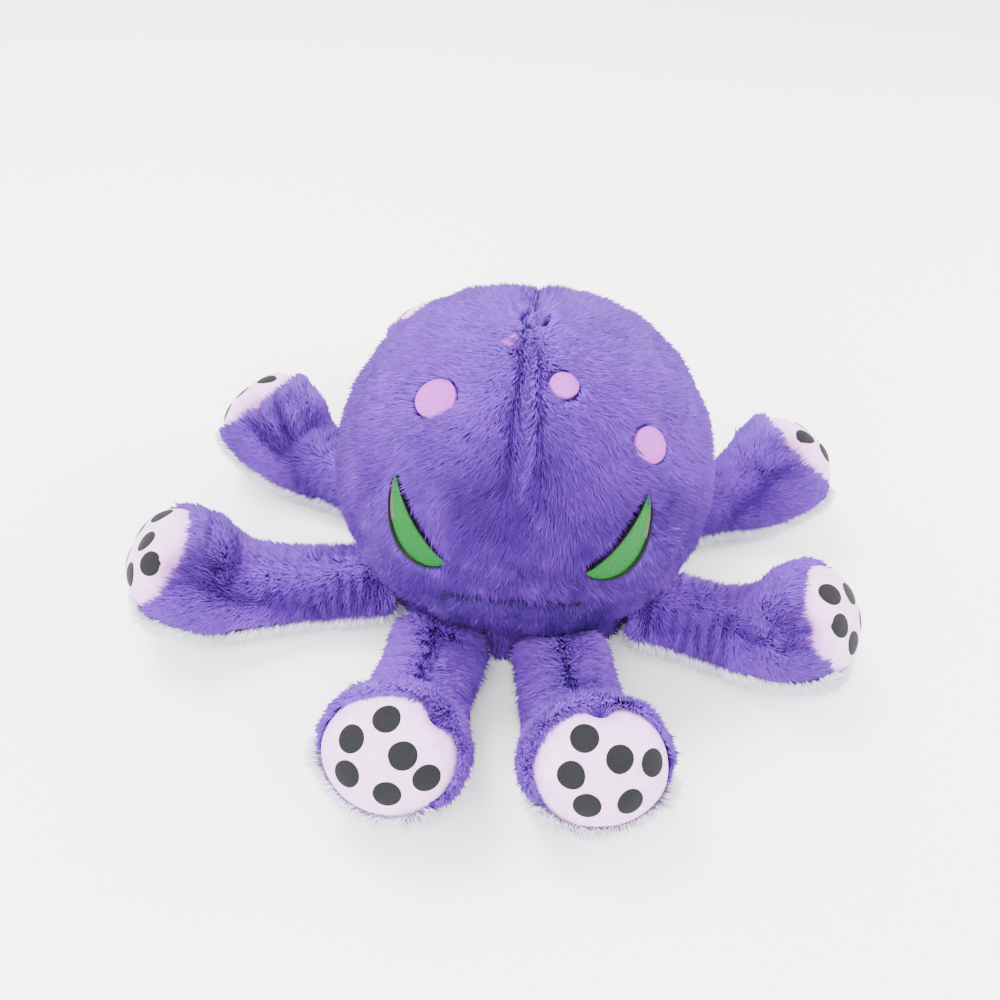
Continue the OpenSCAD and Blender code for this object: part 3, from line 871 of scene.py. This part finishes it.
def tuck_place(arm):
    """Where a pad's top is pinched in, and the middle of its edge, in the arm's own frame."""
    turn = math.radians(TUCK_TURN[arm.k - 1])
    x, z, slope = (float(v) for v in arm.middle(np.array(arm.length)))
    n, past = PAD_HALF_H * math.cos(turn), PAD_LOW + 1.0
    tuck = np.array([x + past * math.cos(slope) - n * math.sin(slope), PAD_HALF_W * math.sin(turn),
                     z + past * math.sin(slope) + n * math.cos(slope)])
    return tuck, np.array([x, 0.0, z]), np.array([math.cos(slope), 0.0, math.sin(slope)])


def tucked(arm, local):
    """Pinches the top of the pad, with creases running out from there, and creases the bend."""
    tuck, centre, outward = tuck_place(arm)
    off = local - tuck
    gap = np.linalg.norm(off, axis=-1)
    pull = unit(centre - tuck)
    local = local + pull * (6.5 * bump(gap, 6.5))[..., None]
    side = unit(np.cross(outward, pull))
    fan = np.arctan2(off @ side, off @ pull)
    in_pad = (np.arange(len(local)) > TUBE_ROWS + RIM_ROWS)[:, None]
    crease = 0.9 * np.cos(fan * 7) * smooth((gap - 2) / 5) * smooth((20 - gap) / 12) * bump(fan, 1.1)
    local = local + outward * (crease * in_pad)[..., None]
    s = arm.start + arm.bend * 0.45
    bx, bz, slope = (float(v) for v in arm.middle(np.array(s)))
    h = float(arm.half_h(np.array(s))) - PILE_DEPTH
    off = local - np.array([bx - h * math.sin(slope), 0.0, bz + h * math.cos(slope)])
    along = off @ np.array([math.cos(slope), 0, math.sin(slope)])
    near = bump(along, 6.0) * bump(off[..., 1], 22.0) * bump(off[..., 2], 16.0)
    outwards = np.array([-math.sin(slope), 0, math.cos(slope)])
    return local - outwards * ((0.5 + 0.8 * GATHER[arm.k - 1]) * near)[..., None]


def build_arm(arm):
    """An arm's stuffed skin and its two kinds of long pile."""
    local = tucked(arm, arm_skin(arm))
    core = local.mean(axis=1, keepdims=True)
    lump = sway(local + arm.k * 300.0, 34, 20) * 0.8
    local = local + lump * np.minimum(1, np.arange(len(local)) / 12)[:, None, None]
    local[..., 2] = np.maximum(local[..., 2], 1.0)
    grid = arm.world(local)
    cloth = Cloth(grid, grid_normals(grid, True, grid - arm.world(core)), True)
    name = f"arm_{arm.k}"
    root_end = arm.world(np.array([ROOT_AT - 0.2 - ROOT_END, 0, HINGE_Z]))
    body = closed_skin(name + "_body", grid, root_end, grid[-1].mean(0), BACKING)
    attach(body, arm.body)
    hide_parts(name + "_filling")

    bottom = np.abs(np.arange(ARM_COLS) * 360 / ARM_COLS - 180) > 148
    density = np.full(grid.shape[:2], ARM_DENSITY)[:-1]
    density[:, bottom] *= 0.45
    row, col = cloth.scatter(density, 40 + arm.k)
    keep = (row > 2) & (row < TUBE_ROWS + RIM_ROWS * 0.55)
    row, col = row[keep], col[keep]
    root = cloth.at(cloth.grid, row, col)
    normal = unit(cloth.at(cloth.normals, row, col))
    s = np.interp(row, np.arange(TUBE_ROWS), arm_stations(arm))
    middle, reach = pile_edge(arm, s)
    turn = from_top(col * 360 / ARM_COLS - 180, middle)
    inside = reach - 3 - np.abs(turn) - sway(root, 7, 31)[:, 0] * 1.6
    white = inside < 0
    fringe = smooth((inside + 26) / 10) * white
    step = 0.5
    ahead = unit(cloth.at(cloth.grid, row, col) - cloth.at(cloth.grid, row - step, col))
    sideways = unit(cloth.at(cloth.grid, row, col + step) - cloth.at(cloth.grid, row, col - step))
    count = len(row)
    foot = smooth((s / arm.length - 0.35) / 0.3)
    over = np.sign(turn) * np.clip(np.abs(turn) / 50, 0, 1)
    hem = smooth((20 - inside) / 14) * ~white
    hang = over * mix(0.9, 0.12, foot) * (1 - hem) - np.sign(turn) * fringe * 0.7
    flow = ahead * mix(0.4, 1.0, foot)[:, None] + sideways * hang[:, None]
    flow = flow + sway(root, 22, 32) * 0.28 + sway(root, 6, 33) * 0.16 + RNG.normal(0, 0.16, flow.shape)
    rim = smooth((s - arm.length + 16) / 12)
    length = np.where(white, 7.6, 9.2) * (1 + RNG.normal(0, 0.1, count))
    length = length * (1 - 0.3 * hem) * (1 + 0.3 * fringe)
    lean = np.where(white, 44 - 20 * fringe * (1 - 0.5 * rim), mix(mix(53, 64, hem), 68, rim))
    lean = np.radians(lean + 7 * sway(root, 9, 34)[:, 0] + RNG.normal(0, 6, count))
    tone = 0.6 + 0.1 * sway(root, 5, 35)[:, 0] + 0.1 * sway(root, 24, 36)[:, 0] + RNG.normal(0, 0.14, count)
    # painted light and shade: the strands are lighter and darker in bands that follow the soft ribs along the
    # tube
    tone = tone + 0.07 * np.sin(s * 2 * math.pi / RIB_PITCH) * (1 - foot)
    width = RNG.uniform(0.3, 0.46, count) * np.where(white & (np.abs(turn) > 148), 1.5, 1.0)
    for part, pick, finish, slot in (
            ("fur", ~white, PURPLE_PILE, "purple_pile"), ("underside", white, WHITE_PILE, "white_pile")):
        made = strands(f"{name}_{part}_pile", root[pick], normal[pick], flow[pick], length[pick],
                       lean[pick], width[pick], tone[pick], finish)
        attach(made, arm.body)
        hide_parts(f"{name}_{part}")
    return cloth


def pad_place(across, up_):
    """Rows and columns of an arm's grid at places on its pad, in shares of its half sizes."""
    t = 1 - np.hypot(across, up_)
    row = TUBE_ROWS + RIM_ROWS - 1 + t * DOME_ROWS
    return row, (np.degrees(np.arctan2(across, up_)) + 180) * ARM_COLS / 360


def build_pad(arm, cloth):
    """The short-pile cap over an arm's end, and the dots printed on it."""
    name = f"arm_{arm.k}"
    rows = np.linspace(cloth.rows - 1, TUBE_ROWS - 1.5, 34)
    r, c = np.meshgrid(rows, np.arange(ARM_COLS).astype(float), indexing="ij")
    point = cloth.at(cloth.grid, r.ravel(), c.ravel()).reshape(r.shape + (3,))
    normal = unit(cloth.at(cloth.normals, r.ravel(), c.ravel())).reshape(point.shape)
    cap = (point + normal * PAD_CLOTH, point + normal * 0.15, np.stack([r, c], -1))
    made = patches(name + "_pad_cloth", [cap], VELBOA)
    tuck = arm.world(tuck_place(arm)[0])
    co = np.array([v.co for v in made.data.vertices]) / MM
    edge = np.linalg.norm(co - point[0].mean(0), axis=-1) / 38
    blush = 0.9 * bump(np.linalg.norm(co - tuck, axis=-1), 12) + 0.5 * smooth((edge - 0.5) / 0.5)
    layer = made.data.attributes.new("blush", "FLOAT", "POINT")
    layer.data.foreach_set("value", np.clip(blush, 0, 1).astype(np.float32))
    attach(made, arm.body)
    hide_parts(name + "_pad")

    def over(across, up_, lift):
        row, col = pad_place(across.ravel(), up_.ravel())
        at = cloth.at(cloth.grid, row, col) + unit(cloth.at(cloth.normals, row, col)) * lift
        return at.reshape(across.shape + (3,))

    roll = math.radians(PRINT_ROLL[arm.k - 1])
    rings = np.array([0.2, 0.5, 0.8, 0.94, 1.0])[:, None]
    turns = np.linspace(0, 2 * math.pi, 40, endpoint=False)[None, :]
    rounds = []
    for a, u in PRINT_DOTS:
        a, u = a * math.cos(roll) + u * math.sin(roll), u * math.cos(roll) - a * math.sin(roll)
        step = 0.02
        here = np.array([[a + step, u], [a - step, u], [a, u + step], [a, u - step]])
        near = over(here[:, 0], here[:, 1], 0.0)
        lean = np.stack([(near[0] - near[1]) / (2 * step), (near[2] - near[3]) / (2 * step)], -1)
        first = unit(lean[:, 0])
        second = unit(lean[:, 1] - first * (lean[:, 1] @ first))
        offs = first[:, None, None] * (rings * np.sin(turns))
        offs = (offs + second[:, None, None] * (rings * np.cos(turns))) * DOT_R
        share = np.tensordot(np.linalg.pinv(lean), offs, axes=1)
        thin = 0.3 * (1 - rings[:, :, None] ** 4 * 0.5) * np.ones(offs.shape[1:] + (1,))
        inner = over(a + share[0], u + share[1], PAD_CLOTH - 0.3)
        outer = over(a + share[0], u + share[1], PAD_CLOTH)
        outer = outer + unit(outer - inner) * thin
        rounds.append((outer, inner, np.stack([rings * np.sin(turns), rings * np.cos(turns)], -1)))
    dots = patches(name + "_printed_dots", rounds, PRINT)
    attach(dots, arm.body)
    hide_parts(name + "_suckers")


for joint in frame["joints"]:
    number = int(joint["name"].split("_")[1])
    arm = Arm(number, joint)
    cloth = build_arm(arm)
    build_pad(arm, cloth)

# ---------------------------------------------------------------- base


def build_base():
    """The flat white panel that the toy sits on, with its short nap."""
    turns = np.linspace(0, 2 * math.pi, 96, endpoint=False)
    rings = np.array([0.01, 0.2, 0.4, 0.6, 0.8, 0.93, 1.0])
    reach = rings[:, None] * (BASE_R - 3)
    level = np.full((len(rings), len(turns)), 1.2)
    outer = np.stack([reach * np.sin(turns), -reach * np.cos(turns), level], -1)
    inner = outer + [0, 0, 1.6]
    made = sheet_piece("base_panel_cloth", outer, inner, WHITE_BACKING, None, wrap=True)
    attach(made, "head")
    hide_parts("base_panel")
    cloth = Cloth(outer, np.tile([0, 0, -1.0], outer.shape[:2] + (1,)), True)
    row, col = cloth.scatter(0.5, 90)
    root = cloth.at(cloth.grid, row, col)
    normal = np.tile([0, 0, -1.0], (len(root), 1))
    flow = sway(root, 20, 91) + [0.4, 0.6, 0]
    count = len(root)
    flat = np.full(count, math.radians(75))
    made = strands("base_panel_nap", root, normal, flow, RNG.uniform(3, 5, count), flat,
                   RNG.uniform(0.5, 0.8, count), RNG.uniform(0.3, 1, count), WHITE_PILE)
    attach(made, "head")


build_base()

# ---------------------------------------------------------------- floor, light, camera


def backdrop():
    """A wide, plain, pale floor."""
    bpy.ops.mesh.primitive_plane_add(size=12, location=(0, 0, 0))
    floor = bpy.context.active_object
    floor.name = "floor"
    made, _, shader = material("pale studio paper", Roughness=0.9)
    shader.inputs["Base Color"].default_value = linear("#F6F6F6")
    floor.data.materials.append(made)


def soft_light(name, place, target, size, watts, colour="#FFFFFF"):
    lamp = bpy.data.lights.new(name, "AREA")
    lamp.shape = "DISK"
    lamp.size = size
    lamp.energy = watts
    lamp.color = linear(colour)[:3]
    made = bpy.data.objects.new(name, lamp)
    bpy.context.scene.collection.objects.link(made)
    made.location = place
    from mathutils import Vector
    made.rotation_euler = (Vector(target) - Vector(place)).to_track_quat("-Z", "Y").to_euler()


backdrop()
soft_light("key", (-0.7, 0.5, 1.6), (0, 0, 0.05), 0.8, 60)
soft_light("fill", (-0.5, -1.5, 1.2), (0, 0, 0.05), 1.8, 84)
soft_light("rim", (1.5, 0.4, 0.7), (0, 0, 0.08), 0.9, 42)
world = bpy.data.worlds.new("studio")
bpy.context.scene.world = world
world.use_nodes = True
world.node_tree.nodes["Background"].inputs["Color"].default_value = linear("#FFFFFF")
world.node_tree.nodes["Background"].inputs["Strength"].default_value = 3.6


def place_camera():
    """A camera that looks down at the face from about 45 degrees, slightly rolled."""
    from mathutils import Matrix, Vector
    around, up, away, roll = (math.radians(0.8), math.radians(45.3), 0.547, math.radians(3.8))
    back = Vector((math.sin(around) * math.cos(up), -math.cos(around) * math.cos(up), math.sin(up)))
    right = Vector((math.cos(around), math.sin(around), 0))
    top = back.cross(right)
    right, top = right * math.cos(roll) + top * math.sin(roll), top * math.cos(roll) - right * math.sin(roll)
    lens = bpy.data.cameras.new("camera")
    lens.lens = 31.25
    lens.sensor_width = 36
    lens.shift_x = -0.0188
    lens.shift_y = 0.0643
    lens.clip_start = 0.01
    made = bpy.data.objects.new("camera", lens)
    bpy.context.scene.collection.objects.link(made)
    made.matrix_world = Matrix((
        (right.x, top.x, back.x, back.x * away),
        (right.y, top.y, back.y, back.y * away),
        (right.z, top.z, back.z, back.z * away),
        (0, 0, 0, 1)))
    bpy.context.scene.camera = made


place_camera()
